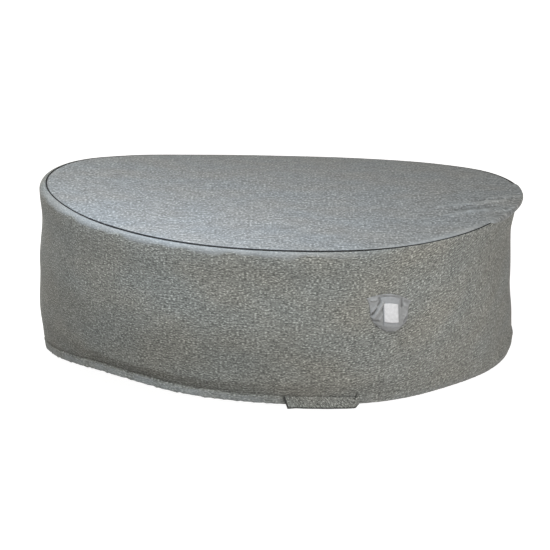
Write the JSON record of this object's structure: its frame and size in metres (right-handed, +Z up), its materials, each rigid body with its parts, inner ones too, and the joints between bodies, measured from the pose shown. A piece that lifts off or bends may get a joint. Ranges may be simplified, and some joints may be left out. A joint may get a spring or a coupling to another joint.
{
  "type": "patio furniture cover",
  "caption": "Oval fitted cloth cover for a patio table and chairs: piped oval top, hanging skirt with drawn-in hem, hooded vent and a short hem pocket.",
  "frame": {"origin": "middle of the top panel's underside, where the covered table holds it up", "axes": "+X along the oval's long axis, +Y along its short axis away from the vent, +Z up"},
  "size_m": [2.4565, 1.9452, 0.8755],
  "materials": {
    "top_cloth": "matt heather weave",
    "piping": "matt dark binding",
    "skirt_cloth": "matt heather weave",
    "pocket_cloth": "matt heather weave, cut on the bias",
    "hood_cloth": "plain coated cloth",
    "strap_cloth": "plain coated cloth",
    "label": "smooth woven label, bare"
  },
  "bodies": {
    "root": {"top_panel": "top_cloth", "edge_piping": "piping", "skirt": "skirt_cloth", "hem_pocket": "pocket_cloth", "vent_hood": "hood_cloth", "vent_strap": "strap_cloth", "vent_label": "label"}
  },
  "joints": []
}
